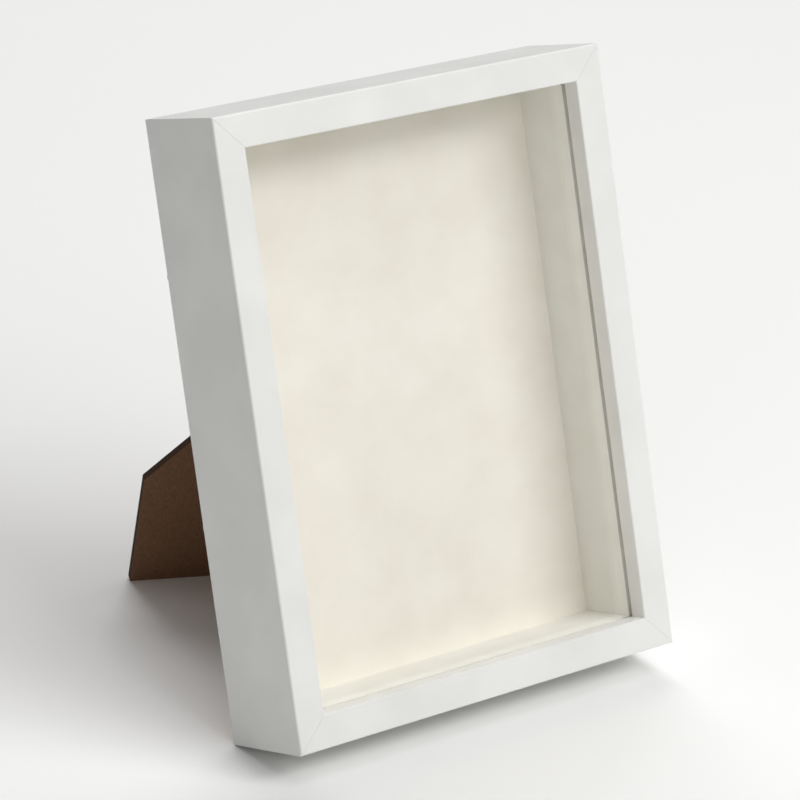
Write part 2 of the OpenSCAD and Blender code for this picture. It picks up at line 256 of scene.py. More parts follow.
def plate(outline, thickness, ease, holes=(), floor=0.0):
    """A flat plate that lies on z = floor, with eased edges."""
    solid = bmesh.new()
    for loop in [outline, *holes]:
        corners = [solid.verts.new((x, y, floor)) for x, y in loop]
        for a, b in zip(corners, corners[1:] + corners[:1]):
            solid.edges.new((a, b))
    bmesh.ops.triangle_fill(solid, edges=solid.edges[:], use_beauty=True)
    raised = bmesh.ops.extrude_face_region(solid, geom=solid.faces[:], use_keep_orig=True)
    top = [g for g in raised["geom"] if isinstance(g, bmesh.types.BMVert)]
    bmesh.ops.translate(solid, verts=top, vec=(0, 0, thickness))
    bmesh.ops.recalc_face_normals(solid, faces=solid.faces[:])
    ease_edges(solid, ease)
    return to_mesh(solid)


def mark_sawn_edges(mesh):
    """Gives the edge faces of a flat plate the piece's second finish."""
    for face in mesh.polygons:
        face.material_index = int(abs(face.normal.z) < 0.5)
    return mesh


def bar(section, start, end, ease):
    """A bar along x whose section is an outline in y and z, with the rims of its ends
    eased."""
    solid = bmesh.new()
    rings = [[solid.verts.new((x, y, z)) for y, z in section] for x in (start, end)]
    count = len(section)
    for i in range(count):
        k = (i + 1) % count
        solid.faces.new((rings[0][i], rings[0][k], rings[1][k], rings[1][i]))
    caps = [solid.faces.new(ring) for ring in rings]
    bmesh.ops.triangulate(solid, faces=caps)
    bmesh.ops.recalc_face_normals(solid, faces=solid.faces[:])
    rims = [
        e for e in solid.edges
        if e.calc_face_angle(0) > SHARP and abs(e.verts[0].co.x - e.verts[1].co.x) < NOTHING
    ]
    round_off(solid, rims, ease)
    return to_mesh(solid)


def lathe(profile, steps=32):
    """A closed solid of revolution around z, from its radii and heights."""
    solid = bmesh.new()
    rings = []
    for radius, height in profile:
        if radius < NOTHING:
            rings.append([solid.verts.new((0, 0, height))] * steps)
            continue
        ring = []
        for i in range(steps):
            turn = 2 * pi * i / steps
            ring.append(solid.verts.new((radius * cos(turn), radius * sin(turn), height)))
        rings.append(ring)
    for low, high in zip(rings, rings[1:]):
        for i in range(steps):
            k = (i + 1) % steps
            corners = list(dict.fromkeys((low[i], low[k], high[k], high[i])))
            solid.faces.new(corners)
    return to_mesh(solid)


def joined(*meshes):
    """Several meshes as one, each either bare or with the place that it goes to."""
    solid = bmesh.new()
    for entry in meshes:
        mesh, place = entry if isinstance(entry, tuple) else (entry, None)
        if place:
            mesh.transform(place)
        solid.from_mesh(mesh)
        bpy.data.meshes.remove(mesh)
    mesh = bpy.data.meshes.new("solid")
    solid.to_mesh(mesh)
    solid.free()
    return mesh


def loose(mesh, name="tool"):
    """A mesh as an object of its own, for a modifier or a node tree to use."""
    thing = bpy.data.objects.new(name, mesh)
    bpy.context.collection.objects.link(thing)
    return thing


def evaluated(thing):
    """What an object looks like once its modifiers are done, as a plain mesh."""
    bpy.context.view_layer.update()
    graph = bpy.context.evaluated_depsgraph_get()
    mesh = bpy.data.meshes.new_from_object(thing.evaluated_get(graph), depsgraph=graph)
    bpy.data.objects.remove(thing)
    return mesh


def cut(mesh, tool_mesh):
    """The mesh with the tool's shape taken out of it."""
    tool = loose(tool_mesh)
    body = loose(mesh, "cut")
    change = body.modifiers.new("cut", "BOOLEAN")
    change.operation = "DIFFERENCE"
    change.solver = "EXACT"
    change.object = tool
    result = evaluated(body)
    bpy.data.objects.remove(tool)
    return result


# ---------------------------------------------------------------- finishes

WHITE = "#ffffff"


def srgb(code):
    """A hex colour as the linear colour that shaders take."""
    parts = [int(code[i:i + 2], 16) / 255 for i in (1, 3, 5)]
    return tuple(c / 12.92 if c <= 0.04045 else ((c + 0.055) / 1.055) ** 2.4 for c in parts) + (1.0,)


def add(tree, kind, inputs=None, **settings):
    """Adds a node. Its settings are its own, and each input is a value or a link."""
    made = tree.nodes.new(kind)
    for name, value in settings.items():
        setattr(made, name, value)
    for name, value in (inputs or {}).items():
        if isinstance(value, bpy.types.NodeSocket):
            tree.links.new(value, made.inputs[name])
        else:
            made.inputs[name].default_value = value
    return made


def new_finish(name):
    """An empty material, its node tree and the coordinates that its patterns read."""
    finish = bpy.data.materials.new(name)
    finish.use_nodes = True
    tree = finish.node_tree
    tree.nodes.clear()
    place = add(tree, "ShaderNodeTexCoord").outputs["Object"]
    return finish, tree, place


def noise(tree, place, size_mm, detail, stretch=(1, 1, 1), rough=0.5):
    """Noise whose blotches are about size_mm across, stretched along the given axes."""
    spread = tuple(1 / s for s in stretch)
    spot = add(tree, "ShaderNodeMapping", {"Vector": place, "Scale": spread})
    return add(tree, "ShaderNodeTexNoise", {
        "Vector": spot.outputs[0], "Scale": 1 / (size_mm * MM), "Detail": detail, "Roughness": rough,
    }).outputs["Fac"]


def blend(tree, amount, low, high, start=0.35, end=0.65):
    """A colour between two, as the pattern goes from start to end."""
    ramp = add(tree, "ShaderNodeValToRGB", {"Fac": amount})
    for stop, spot, shade in zip(ramp.color_ramp.elements, (start, end), (low, high)):
        stop.position = spot
        stop.color = srgb(shade)
    return ramp.outputs["Color"]


def between(tree, amount, low, high):
    """A number that follows a pattern from low to high."""
    return add(tree, "ShaderNodeMapRange", {
        "Value": amount, "From Min": 0.3, "From Max": 0.7, "To Min": low, "To Max": high,
    }).outputs[0]


def dent(tree, amount, depth_mm, strength=1.0, under=None):
    """A bump of that real depth, over another bump if there is one."""
    inputs = {"Height": amount, "Distance": depth_mm * MM, "Strength": strength}
    if under is not None:
        inputs["Normal"] = under
    return add(tree, "ShaderNodeBump", inputs).outputs["Normal"]


def surface(tree, **inputs):
    """The shader and the output; inputs are the shader's, with _ for each space."""
    shader = add(tree, "ShaderNodeBsdfPrincipled", {k.replace("_", " "): v for k, v in inputs.items()})
    out = add(tree, "ShaderNodeOutputMaterial", {"Surface": shader.outputs[0]})
    return shader, out


def wrapped_white_film():
    """PVC film, vacuum-wrapped on MDF: a soft satin white that shows the board's
    faint unevenness as slow waves in its gloss, with a fine pebble from the press. The
    real pebble is about 0.1 mm, and it is drawn at 0.55 mm so that it shows."""
    finish, tree, place = new_finish("satin_white_film")
    slow = noise(tree, place, 26, 2)
    pebble = noise(tree, place, 0.55, 2)
    wave = dent(tree, noise(tree, place, 12, 1), 0.01, 0.3)
    surface(
        tree,
        Base_Color=blend(tree, slow, "#e9e9e6", "#efefec"),
        Roughness=between(tree, noise(tree, place, 6, 3), 0.36, 0.46),
        IOR=1.48,
        Normal=dent(tree, pebble, 0.012, 0.35, wave),
    )
    return finish


def raw_mdf():
    """Sawn MDF: tan, dead matt, with short pressed fibres and darker flecks."""
    finish, tree, place = new_finish("raw_mdf")
    fibres = noise(tree, place, 0.5, 5, (3, 1, 1))
    surface(
        tree,
        Base_Color=blend(tree, fibres, "#a58459", "#c2a377", 0.3, 0.7),
        Roughness=0.88,
        Normal=dent(tree, fibres, 0.06, 0.6),
    )
    return finish


def lined_white_strip():
    """White paper pressed on hardboard strip: matt, slightly warm, with a fibrous tooth
    that is drawn at 0.4 mm, about twice its real size, so that it shows."""
    finish, tree, place = new_finish("lined_white_strip")
    fibres = noise(tree, place, 0.4, 4, (1, 1, 4))
    surface(
        tree,
        Base_Color=blend(tree, noise(tree, place, 14, 3), "#f1f0e8", "#f5f4ee"),
        Roughness=0.62,
        Specular_IOR_Level=0.4,
        Normal=dent(tree, fibres, 0.02, 0.35),
    )
    return finish


def cream_card():
    """Uncoated cream mount card: matt pulp with faint clouding and a fine paper tooth,
    drawn at 0.35 mm, about twice its real size, so that it shows."""
    finish, tree, place = new_finish("cream_mount_card")
    clouds = noise(tree, place, 22, 4, rough=0.6)
    tooth = noise(tree, place, 0.35, 4)
    surface(
        tree,
        Base_Color=blend(tree, clouds, "#f5f0e4", "#faf6eb"),
        Roughness=0.9,
        Specular_IOR_Level=0.25,
        Normal=dent(tree, tooth, 0.03, 0.4),
    )
    return finish


def grey_filler_board():
    """Recycled chipboard: dull grey-brown pulp with pale and dark specks."""
    finish, tree, place = new_finish("grey_filler_board")
    specks = noise(tree, place, 0.9, 6, (2, 1, 1), rough=0.7)
    surface(
        tree,
        Base_Color=blend(tree, specks, "#8d7a5d", "#b6a283", 0.3, 0.62),
        Roughness=0.92,
        Normal=dent(tree, specks, 0.05, 0.5),
    )
    return finish


def brown_hardboard():
    """Stained hardboard: brown, pressed smooth, with short fibres that catch the
    light and slightly glossier rubbed patches."""
    finish, tree, place = new_finish("brown_hardboard")
    fibres = noise(tree, place, 0.7, 6, (1, 1, 4), rough=0.62)
    clouds = noise(tree, place, 17, 3)
    surface(
        tree,
        Base_Color=blend(tree, fibres, "#70523b", "#84644a", 0.3, 0.7),
        Roughness=between(tree, clouds, 0.52, 0.68),
        Specular_IOR_Level=0.3,
        Normal=dent(tree, fibres, 0.04, 0.5),
    )
    return finish


def sawn_hardboard_edge():
    """The sawn edge of the same board: darker than its faces, and ridged along the layers."""
    finish, tree, place = new_finish("sawn_hardboard_edge")
    layers = noise(tree, place, 0.45, 5, (3, 3, 1), rough=0.7)
    surface(
        tree,
        Base_Color=blend(tree, layers, "#35251a", "#4c3626", 0.3, 0.7),
        Roughness=0.85,
        Specular_IOR_Level=0.25,
        Normal=dent(tree, layers, 0.1, 0.7),
    )
    return finish


def plated_steel(name, light, dark, low, high):
    """Plated or drawn steel wire and sheet: a grey metal between the colours light and
    dark, cloudy from the bath, with duller handled patches and a roughness from low to
    high. The rolling lines are drawn at 0.16 mm, coarser than real ones, so that they
    show."""
    finish, tree, place = new_finish(name)
    clouds = noise(tree, place, 2.6, 4)
    lines = noise(tree, place, 0.16, 2, (10, 1, 1))
    surface(
        tree,
        Base_Color=blend(tree, clouds, dark, light, 0.3, 0.7),
        Metallic=1.0,
        Roughness=between(tree, clouds, high, low),
        Normal=dent(tree, lines, 0.006, 0.35),
    )
    return finish


def clear_glass():
    """Float glass: colourless in the pane, mirror smooth. Lamps and the light that
    the white box throws back go straight through it, as they do through a thin pane."""
    finish, tree, _ = new_finish("clear_float_glass")
    shader, out = surface(
        tree,
        Base_Color=srgb(WHITE),
        Roughness=0.0,
        IOR=1.52,
        Transmission_Weight=1.0,
    )
    ray = add(tree, "ShaderNodeLightPath").outputs
    clear = add(tree, "ShaderNodeBsdfTransparent", {"Color": srgb("#fefefe")}).outputs[0]
    let_through = shader
    for kind in ("Is Shadow Ray", "Is Diffuse Ray"):
        let_through = add(tree, "ShaderNodeMixShader", {
            0: ray[kind], 1: let_through.outputs[0], 2: clear,
        })
    tree.links.new(let_through.outputs[0], out.inputs["Surface"])
    return finish


FINISHES = {
    "film": wrapped_white_film(),
    "mdf": raw_mdf(),
    "strip": lined_white_strip(),
    "card": cream_card(),
    "filler": grey_filler_board(),
    "hardboard": brown_hardboard(),
    "sawn": sawn_hardboard_edge(),
    "glass": clear_glass(),
    "hinge": plated_steel("zinc_plated_hinge", "#bcbdbd", "#a2a5a6", 0.3, 0.46),
    "button": plated_steel("zinc_plated_buttons", "#c6c8c8", "#adb0b1", 0.26, 0.4),
    "strap": plated_steel("zinc_plated_strap", "#c0c1c1", "#a6a8a9", 0.3, 0.45),
    "rivet": plated_steel("zinc_plated_rivets", "#cdcecf", "#b4b6b7", 0.22, 0.34),
    "screw": plated_steel("zinc_plated_screws", "#bfc0bf", "#9b9d9d", 0.24, 0.38),
    "pin": plated_steel("drawn_steel_pin", "#a7a8a8", "#8e9091", 0.28, 0.42),
    "nail": plated_steel("blued_nail_steel", "#85888b", "#6b6e72", 0.36, 0.52),
    "ring": plated_steel("nickel_plated_wire", "#d3d2ce", "#c2c1bc", 0.1, 0.2),
}


# ---------------------------------------------------------------- pieces

# Faces that meet at more than CREASE are shaded with a crisp line between them
CREASE = radians(40)


def piece(name, mesh, place, body, finishes):
    """Lays a mesh onto the frame as a piece of the object, smooth except at its
    sharp edges. It rides on a body and stands for the node of the same name."""
    mesh.transform(UPRIGHT @ place)
    sides = [face.material_index for face in mesh.polygons]
    mesh.materials.clear()
    for finish in finishes:
        mesh.materials.append(FINISHES[finish])
    for face, side in zip(mesh.polygons, sides):
        face.use_smooth = True
        face.material_index = min(side, len(finishes) - 1)
    mesh.set_sharp_from_angle(angle=CREASE)
    raw = loose(mesh, "raw")
    weigh = raw.modifiers.new("weigh", "WEIGHTED_NORMAL")
    weigh.keep_sharp = True
    made = loose(evaluated(raw), "finished_" + name)
    made.data.name = made.name
    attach(made, body)
    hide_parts(name)


def v_nail_section():
    """The chevron of a V-nail, its point towards the corner of the box."""
    low, high = RAIL_WALL / 2 - NAIL_ARM / 2, RAIL_WALL / 2 + NAIL_ARM / 2
    inner = low + NAIL_T
    return [(low, low), (high, low), (high, inner), (inner, inner), (inner, high), (low, high)]


def corner_places():
    """The four corners of the box, each with x and y along its two edges."""
    for x, z, turn in ((0, BOX_H, 0), (BOX_W, BOX_H, 90), (BOX_W, 0, 180), (0, 0, 270)):
        yield rear_place(x, 0, z, turn)


def nail_slots():
    """What the V-nails and the gap above them take out of the rails, its own edges
    left all but sharp."""
    slots = []
    for place in corner_places():
        tool = plate(v_nail_section(), NAIL_DEPTH + 1, 0.01, floor=BOX_D - NAIL_DEPTH)
        slots.append((tool, place))
    return joined(*slots)


def rail_section():
    """A rail seen along its length: x inwards from the outer edge, y to the rear."""
    return [
        *arc(SMALL_R, BOX_D - SMALL_R, SMALL_R, 90, 180, 4),
        *arc(EDGE_R, EDGE_R, EDGE_R, 180, 270, 8),
        *arc(RAIL_FACE - SMALL_R, SMALL_R, SMALL_R, 270, 360, 5),
        (RAIL_FACE, LIP - EASE), (RAIL_FACE - EASE, LIP),
        (RAIL_WALL, LIP),
        (RAIL_WALL, BOX_D - EASE), (RAIL_WALL - EASE, BOX_D),
    ]


def mitred_rail(length):
    """A rail along x with its outer edge on z = 0. Its mitred ends are eased a hair,
    so that two rails meet in a fine groove. Film covers its front and outside, and the
    faces behind the lip and at the mitres are raw."""
    section = rail_section()
    sunk = inset(section, MITRE_GROOVE)
    solid = bmesh.new()
    rings = []
    for outline, from_mitre, far in (
        (sunk, 0, False), (section, MITRE_GROOVE, False),
        (section, MITRE_GROOVE, True), (sunk, 0, True),
    ):
        ring = []
        for across, depth in outline:
            along = across + from_mitre
            ring.append(solid.verts.new((length - along if far else along, depth, across)))
        rings.append(ring)
    count = len(section)
    for low, high in zip(rings, rings[1:]):
        for i in range(count):
            k = (i + 1) % count
            face = solid.faces.new((low[i], low[k], high[k], high[i]))
            across, depth = (Vector(section[i]) + Vector(section[k])) / 2
            face.material_index = int(depth > LIP + 0.01 and across > SMALL_R)
    ends = [solid.faces.new(ring) for ring in (rings[0], rings[-1])]
    for end in ends:
        end.material_index = 1
    bmesh.ops.triangulate(solid, faces=ends)
    return to_mesh(solid)


def make_rails():
    """The four rails, with slots cut for the V-nails."""
    places = {
        "rail_bottom": (BOX_W, Matrix.Identity(4)),
        "rail_top": (BOX_W, Matrix.Translation((BOX_W, 0, BOX_H)) @ turned(180, "Y")),
        "rail_left": (BOX_H, Matrix.Translation((0, 0, BOX_H)) @ turned(90, "Y")),
        "rail_right": (BOX_H, Matrix.Translation((BOX_W, 0, 0)) @ turned(-90, "Y")),
    }
    for name, (length, place) in places.items():
        rail = mitred_rail(length)
        rail.transform(place)
        for finish in ("film", "mdf"):
            rail.materials.append(FINISHES[finish])
        piece(name, cut(rail, nail_slots()), Matrix.Identity(4), "box", ["film", "mdf"])


def board(y0, y1, ease, corner=BOARD_CORNER):
    """A flat board that fills the rebate, from y0 to y1."""
    outline = rectangle(SHEET_EDGE, BOX_W - SHEET_EDGE, SHEET_EDGE - BOX_H, -SHEET_EDGE, corner)
    return plate(outline, y1 - y0, ease, floor=y0)


def make_sheets():
    """What lies in the rebate, from the glass to the back panel."""
    glass = board(LIP, LIP + GLASS_T, GLASS_EASE)
    piece("glass_pane", glass, FLAT, "box", ["glass"])
    far_x, far_z = BOX_W - RAIL_FACE, BOX_H - RAIL_FACE
    strips = {
        "spacer_top": (SPACER_EDGE, BOX_W - SPACER_EDGE, far_z, BOX_H - SPACER_EDGE),
        "spacer_bottom": (SPACER_EDGE, BOX_W - SPACER_EDGE, SPACER_EDGE, RAIL_FACE),
        "spacer_left": (SPACER_EDGE, RAIL_FACE, RAIL_FACE, far_z),
        "spacer_right": (far_x, BOX_W - SPACER_EDGE, RAIL_FACE, far_z),
    }
    for name, (x0, x1, z0, z1) in strips.items():
        outline = rectangle(x0, x1, -z1, -z0, STRIP_CORNER)
        strip = plate(outline, CARD_Y - SPACER_Y, STRIP_EASE, floor=SPACER_Y)
        piece(name, strip, FLAT, "box", ["strip"])
    card = board(CARD_Y, FILLER_Y, CARD_EASE)
    piece("backing_card", card, FLAT, "box", ["card"])
    filler = board(FILLER_Y, PANEL_Y, CARD_EASE)
    piece("filler_board", filler, FLAT, "box", ["filler"])
    panel = mark_sawn_edges(board(PANEL_Y, PANEL_Y + PANEL_T, EASE, PANEL_CORNER))
    piece("back_panel", panel, FLAT, "box", ["hardboard", "sawn"])


def rolled(sheet_t, r_out, r_in, sheet_from, sheet_top, end):
    """Section of a sheet rolled round a pin. The sheet lies along +y with its outer
    face at z = -sheet_top, and rolls up round the far side to the angle end."""
    outer = arc(0, 0, r_out, -80, -end, 26)
    inner = arc(0, 0, r_in, -end, -95, 26)
    tail = [(sheet_from, sheet_t - sheet_top), (sheet_from, -sheet_top), (1.0, -sheet_top)]
    return [*outer, *inner, (1.0, sheet_t - sheet_top), *tail]


def rivet_holes(up):
    """The two rivet holes of a hinge leaf, above (-1) or below (1) the hinge line."""
    return [circle(side * RIVET_U, up * RIVET_V, RIVET_R) for side in (-1, 1)]


def make_fixed_leaf():
    """The leaf on the panel: two outer knuckles, with a notch that the other leaf's
    knuckle turns in."""
    half, slot_half = HINGE_W / 2, KNUCKLE_MID + KNUCKLE_GAP
    rim, notch = -0.8, -KNUCKLE_R - KNUCKLE_GAP
    corners = [
        (-half, -LEAF_LEN), (half, -LEAF_LEN), (half, rim), (slot_half, rim),
        (slot_half, notch), (-slot_half, notch), (-slot_half, rim), (-half, rim),
    ]
    outline = rounded(corners, [LEAF_CORNER, LEAF_CORNER, 0.2, 0.2, 0.5, 0.5, 0.2, 0.2])
    leaf = plate(outline, LEAF_T, STEEL_EASE, rivet_holes(-1), LEAF_FLOOR)
    roll = [(-y, z) for y, z in rolled(LEAF_T, KNUCKLE_R, PIN_R, 2.6, -LEAF_FLOOR, 335)]
    knuckles = [bar(roll, -half, -slot_half, ROLL_EASE), bar(roll, slot_half, half, ROLL_EASE)]
    piece(
        "hinge_fixed_leaf", joined(leaf, *knuckles), hinge_place(0), "box", ["hinge"]
    )


def make_pin():
    """The hinge pin, its ends slightly peened."""
    half = HINGE_W / 2
    peened = [(0, -half), (PIN_R - 0.35, -half), (PIN_R, 0.3 - half)]
    pin = lathe([*peened, *[(r, -z) for r, z in reversed(peened)]])
    pin.transform(turned(90, "Y"))
    piece("hinge_pin", pin, hinge_place(0), "box", ["pin"])


def make_strut_leaf():
    """The leaf on the strut: the middle knuckle, and a tab past it that meets the fixed
    leaf and stops the strut when it is open."""
    half, rim = HINGE_W / 2 - 2, 0.6
    corners = [
        (-half, BOARD_TOP), (-KNUCKLE_MID, BOARD_TOP), (-KNUCKLE_MID, rim), (KNUCKLE_MID, rim),
        (KNUCKLE_MID, BOARD_TOP), (half, BOARD_TOP), (half, LEAF_LEN), (-half, LEAF_LEN),
    ]
    outline = rounded(corners, [0.3, 0.3, 0.2, 0.2, 0.3, 0.3, LEAF_CORNER, LEAF_CORNER])
    leaf = plate(outline, LEAF_T, STEEL_EASE, rivet_holes(1), BOARD_OUT)
    bore = PIN_R + PIN_FIT
    roll = [(y, -z) for y, z in rolled(LEAF_T, KNUCKLE_R, bore, 2.6, KNUCKLE_R, 340)]
    knuckle = bar(roll, -KNUCKLE_MID, KNUCKLE_MID, ROLL_EASE)
    tab_half, tab_root = KNUCKLE_MID - 0.6, -1.35
    tab_corners = [
        (-tab_half, -TAB_LEN), (tab_half, -TAB_LEN), (tab_half, tab_root), (-tab_half, tab_root),
    ]
    tab_outline = rounded(tab_corners, [TAB_CORNER, TAB_CORNER, 0.2, 0.2])
    tab = plate(tab_outline, LEAF_T, STEEL_EASE, (), LEAF_FLOOR + LEAF_T + STOP_GAP)
    whole = joined(leaf, knuckle, (tab, turned(-STRUT_OPEN, "X")))
    piece("hinge_strut_leaf", whole, hinge_place(STRUT_OPEN), "strut", ["hinge"])


def strut_corners():
    """The strut's outline, from its top corners round its foot. The foot's two edges
    are where the board meets the table, in portrait and in landscape."""
    open_by, slope = radians(STRUT_OPEN), radians(HINGE_SLOPE)

    # How much a step across, down and out of the strut rises over the table, and how
    # high the board's inner face starts at the hinge
    rise_across = -sin(slope) * cos(LEAN)
    rise_down = -cos(open_by) * cos(slope) * cos(LEAN) - sin(open_by) * sin(LEAN)
    rise_out = sin(open_by) * cos(slope) * cos(LEAN) - cos(open_by) * sin(LEAN)
    start = HINGE.z * cos(LEAN) - (HINGE.y - BOX_D) * sin(LEAN) + BOARD_IN * rise_out
    foot = -rise_across / rise_down
    tip = (-TIP_LEFT, -(start - rise_across * TIP_LEFT) / rise_down)
    flare = tan(radians(STRUT_FLARE))

    def corner(side, run):
        """Where a foot edge of that slope, from the tip, meets the strut's side."""
        across = (side * (HINGE_W / 2 + flare * tip[1]) - tip[0]) / (1 - side * flare * run)
        return tip[0] + across, tip[1] + run * across

    top = HINGE_W / 2 + flare * BOARD_TOP
    return [(-top, BOARD_TOP), (top, BOARD_TOP), corner(1, foot), tip, corner(-1, -1 / foot)]


def make_strut():
    """The strut board, its sawn edges darker than its faces."""
    outline = rounded(strut_corners(), [1.5, 1.5, 1.2, 0.5, 1.2])
    leg = mark_sawn_edges(plate(outline, STRUT_T, STRUT_EASE, rivet_holes(1), BOARD_IN))
    place = hinge_place(STRUT_OPEN)
    piece("strut_leg", leg, place, "strut", ["hardboard", "sawn"])


def button_outline():
    """A turn button around its screw, its tongue along +y."""
    slant = degrees(asin((BUTTON_R - BUTTON_TIP_R) / BUTTON_REACH))
    return [
        *arc(0, 0, BUTTON_R, 180 - slant, 360 + slant, 28),
        *arc(0, BUTTON_REACH, BUTTON_TIP_R, slant, 180 - slant, 16),
    ]


def make_buttons():
    """The turn buttons, each on its own screw."""
    for name, (x, z, turn) in BUTTONS.items():
        node = "turn_button_" + name
        bore = circle(0, 0, SCREW_R + SCREW_FIT)
        button = plate(button_outline(), BUTTON_T, BUTTON_EASE, [bore])
        place = rear_place(x, BOX_D + BUTTON_GAP, z, turn + 180)
        piece(node, button, place, node, ["button"])


def hanger_place(hanger, swing=0):
    """The frame of a hanger: x along the ring's bar and y down the strap."""
    x, z, turn, _ = hanger
    return rear_place(x, RING_Y, z, turn) @ turned(swing, "X")


def make_hangers():
    """The straps and their D-rings."""
    half = STRAP_W / 2
    corners = [(-half, 0.6), (half, 0.6), (half, STRAP_LEN), (-half, STRAP_LEN)]
    outline = rounded(corners, [0.2, 0.2, STRAP_CORNER, STRAP_CORNER], 8)
    roll = rolled(STRAP_T, LOOP_R, WIRE_R + RING_FIT, 2.2, LOOP_R, 325)
    for name, hanger in HANGERS.items():
        hole = circle(0, STRAP_RIVET, RIVET_R)
        strap = plate(outline, STRAP_T, STEEL_EASE, [hole], -LOOP_R)
        whole = joined(strap, bar(roll, -half, half, ROLL_EASE))
        node = "hanger_strap_" + name
        piece(node, whole, hanger_place(hanger), "box", ["strap"])
        node = "hanger_ring_" + name
        piece(node, d_ring(), hanger_place(hanger, hanger[3]), node, ["ring"])


def d_ring():
    """A D-ring of round wire: a straight bar along x, and a bow on the +y side that
    runs into the bar through two tighter bends."""
    rest = RING_R - RING_BEND
    meet = asin(RING_BEND / rest)
    bend_x = rest * cos(meet)
    meet = degrees(meet)
    path = [
        *arc(0, 0, RING_R, meet, 180 - meet, 40),
        *arc(-bend_x, RING_BEND, RING_BEND, 180 - meet, 270, 10)[1:],
        *arc(bend_x, RING_BEND, RING_BEND, 270, 360 + meet, 10)[:-1],
    ]
    wire = bpy.data.curves.new("wire", "CURVE")
    wire.dimensions = "3D"
    wire.bevel_depth = WIRE_R
    wire.bevel_resolution = 5
    line = wire.splines.new("POLY")
    line.points.add(len(path) - 1)
    for point, (x, y) in zip(line.points, path):
        point.co = (x, y, 0, 1)
    line.use_cyclic_u = True
    return evaluated(loose(wire))


# ---------------------------------------------------------------- fasteners

def fastener_tree():
    """Sets one fastener on each point, turned by the point's own turn and a little
    more or less, as they come off a bench."""
    tree = bpy.data.node_groups.new("fasteners_on_points", "GeometryNodeTree")
    sockets = (
        ("Geometry", "NodeSocketGeometry"), ("Fastener", "NodeSocketObject"),
        ("Loose Turn", "NodeSocketFloat"), ("Seed", "NodeSocketInt"),
        ("Finish", "NodeSocketMaterial"),
    )
    for name, kind in sockets:
        tree.interface.new_socket(name, in_out="INPUT", socket_type=kind)
    tree.interface.new_socket("Geometry", in_out="OUTPUT", socket_type="NodeSocketGeometry")
    given = add(tree, "NodeGroupInput").outputs
    own_turn = add(tree, "GeometryNodeInputNamedAttribute", {"Name": "turn"}, data_type="FLOAT")
    back = add(tree, "ShaderNodeMath", {0: given["Loose Turn"], 1: -1.0}, operation="MULTIPLY")

    # Inputs 2 and 3 are the least and most of a random number, and output 1 is the number
    spread = add(tree, "FunctionNodeRandomValue", {
        2: back.outputs[0], 3: given["Loose Turn"], "Seed": given["Seed"],
    }, data_type="FLOAT")
    turn = add(tree, "ShaderNodeMath", {0: own_turn.outputs[0], 1: spread.outputs[1]})
    angles = add(tree, "ShaderNodeCombineXYZ", {"Z": turn.outputs[0]})
    rotation = add(tree, "FunctionNodeEulerToRotation", {0: angles.outputs[0]})
    shape = add(tree, "GeometryNodeObjectInfo", {"Object": given["Fastener"]})
    placed = add(tree, "GeometryNodeInstanceOnPoints", {
        "Points": given["Geometry"], "Instance": shape.outputs["Geometry"],
        "Rotation": rotation.outputs[0],
    })
    real = add(tree, "GeometryNodeRealizeInstances", {"Geometry": placed.outputs[0]})
    coated = add(tree, "GeometryNodeSetMaterial", {
        "Geometry": real.outputs[0], "Material": given["Finish"],
    })
    add(tree, "NodeGroupOutput", {"Geometry": coated.outputs[0]})
    return tree


FASTENERS = fastener_tree()


def set_fasteners(shape, points, finish, loose_turn=0.0, seed=1):
    """One mesh with the shape on each point (x, y, z, turn), through the tree."""
    template = loose(shape, "fastener")
    dots = bpy.data.meshes.new("points")
    dots.from_pydata([p[:3] for p in points], [], [])
    turns = dots.attributes.new("turn", "FLOAT", "POINT")
    turns.data.foreach_set("value", [radians(p[3]) for p in points])
    bench = loose(dots, "bench")
    setter = bench.modifiers.new("set", "NODES")
    setter.node_group = FASTENERS
    values = {
        "Fastener": template, "Loose Turn": radians(loose_turn), "Seed": seed,
        "Finish": FINISHES[finish],
    }
    for item in FASTENERS.interface.items_tree:
        if item.in_out == "INPUT" and item.name in values:
            setter[item.identifier] = values[item.name]
    mesh = evaluated(bench)
    bpy.data.objects.remove(template)
    return mesh


def domed_rivet(length):
    """A rivet whose shank starts at z = 0 and whose domed head sits at its length."""
    dome = (RIVET_HEAD_R ** 2 + RIVET_HEAD_H ** 2) / (2 * RIVET_HEAD_H)
    spread = degrees(asin(RIVET_HEAD_R / dome))
    crown = arc(0, length + RIVET_HEAD_H - dome, dome, 90 - spread, 90, 9)
    crown[-1] = (0, length + RIVET_HEAD_H)
    return lathe([(0, 0), (RIVET_R - 0.1, 0), (RIVET_R, 0.1), (RIVET_R, length), *crown])


def pan_screw():
    """A pan-head screw with a cross recess, its head's underside on z = 0."""
    rim, rise = 0.45, HEAD_H - 0.45
    crown = []
    for turn in range(0, 90, 9):
        crown.append((HEAD_R * cos(radians(turn)), rim + rise * sin(radians(turn))))
    tip = -(SCREW_LEN + BUTTON_GAP * 2 + BUTTON_T)
    screw = lathe([
        (0, tip), (SCREW_R * 0.5, tip + 0.6), (SCREW_R, tip + 2.4), (SCREW_R, 0),
        (HEAD_R - 0.1, 0), (HEAD_R, 0.12), *crown, (0, HEAD_H),
    ])
    arm, web, recess = HEAD_R * 0.6, 0.3, 0.7
    cross = [
        (arm, -web), (arm, web), (web, web), (web, arm), (-web, arm), (-web, web),
        (-arm, web), (-arm, -web), (-web, -web), (-web, -arm), (web, -arm), (web, -web),
    ]
    return cut(screw, plate(cross, 2.0, 0.02, (), HEAD_H - recess))


